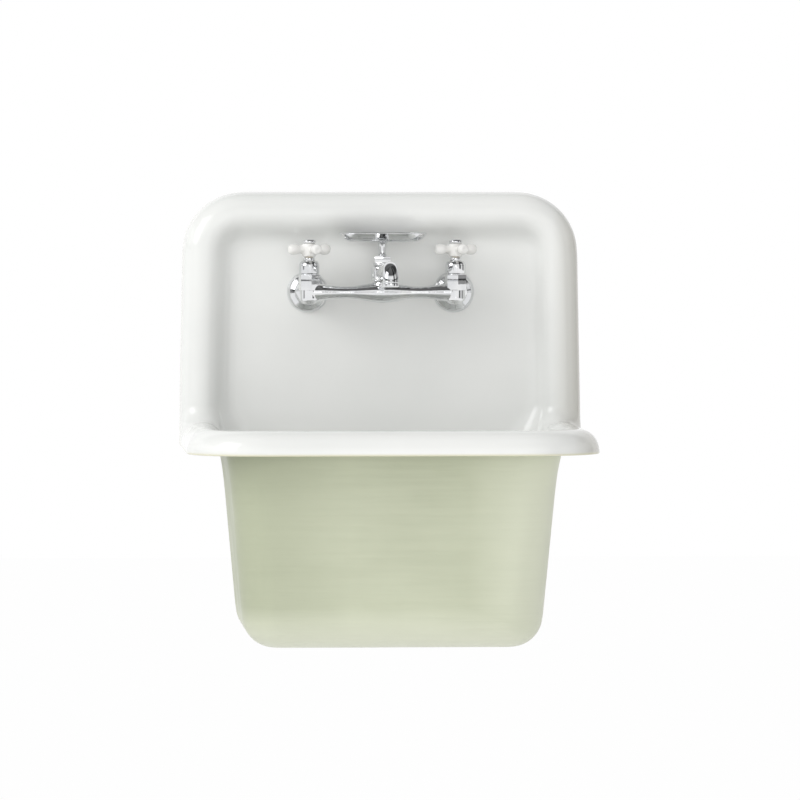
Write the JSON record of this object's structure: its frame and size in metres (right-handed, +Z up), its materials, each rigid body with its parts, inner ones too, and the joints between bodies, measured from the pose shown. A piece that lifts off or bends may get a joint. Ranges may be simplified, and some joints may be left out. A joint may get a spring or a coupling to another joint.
{
  "type": "wall-hung enamelled iron utility washbasin with wall tap",
  "caption": "Wall-hung deep washbasin of enamelled cast iron with a high back and rolled rim, a bridge tap with cross handles, swing spout and soap dish, and a floor strainer.",
  "frame": {"origin": "centre of the wall hanger's back face, in the plane of the finished wall", "axes": "+Z up, +Y into the wall, +X to the right of someone facing the basin; the bowl reaches out along -Y"},
  "size_m": [0.559, 0.457, 0.6255],
  "materials": {
    "enamelled_iron": "gloss white porcelain enamel inside and on the rim, pale sage paint outside the bowl",
    "hanger_iron": "dull cast",
    "chrome": "polished plate on brass",
    "brass": "plain machined",
    "porcelain": "glazed white",
    "stainless": "bright drawn",
    "rubber": "matt black",
    "fibre": "red fibre, matt"
  },
  "bodies": {
    "sink": {"sink_casting": "enamelled_iron", "wall_hanger": "hanger_iron", "strainer_body": "chrome", "strainer_grid": "stainless", "floor_gasket": "rubber", "fibre_washer": "fibre", "drain_locknut": "brass", "bell_flanges": "chrome", "supply_shanks": "brass", "shank_nuts": "brass", "union_nuts": "chrome", "faucet_body": "chrome", "valve_seats": "brass", "bonnets": "chrome", "packing_rings": "rubber", "packing_nuts": "chrome", "spout_ring": "rubber", "spout_nut": "chrome", "soap_dish_post": "chrome", "soap_dish": "chrome", "soap_dish_screw": "chrome"},
    "hot_handle": {"hot_spindle": "brass", "hot_cross_handle": "porcelain", "hot_handle_screw": "brass", "hot_index_cap": "chrome"},
    "cold_handle": {"cold_spindle": "brass", "cold_cross_handle": "porcelain", "cold_handle_screw": "brass", "cold_index_cap": "chrome"},
    "hot_valve": {"hot_plunger": "brass", "hot_seat_washer": "rubber"},
    "cold_valve": {"cold_plunger": "brass", "cold_seat_washer": "rubber"},
    "swing_spout": {"spout": "chrome", "aerator_shell": "chrome", "aerator_screen": "stainless"}
  },
  "joints": [
    {"name": "hot_turn", "type": "hinge", "parent": "sink", "child": "hot_handle", "pos_m": [-0.1016, -0.078, -0.01], "axis": [0, 0, 1], "range_deg": [0, 540]},
    {"name": "hot_lift", "type": "slide", "parent": "sink", "child": "hot_valve", "axis": [0, 0, 1], "range_m": [0, 0.0038]},
    {"name": "cold_turn", "type": "hinge", "parent": "sink", "child": "cold_handle", "pos_m": [0.1016, -0.078, -0.01], "axis": [0, 0, 1], "range_deg": [0, 540]},
    {"name": "cold_lift", "type": "slide", "parent": "sink", "child": "cold_valve", "axis": [0, 0, 1], "range_m": [0, 0.0038]},
    {"name": "spout_swing", "type": "hinge", "parent": "sink", "child": "swing_spout", "pos_m": [0, -0.078, -0.04], "axis": [0, 0, 1], "range_deg": [-60, 60]}
  ],
  "couplings": [
    {"joint": "hot_lift", "follows": "hot_turn", "m_per_rad": 0.00039789},
    {"joint": "cold_lift", "follows": "cold_turn", "m_per_rad": 0.00039789}
  ]
}
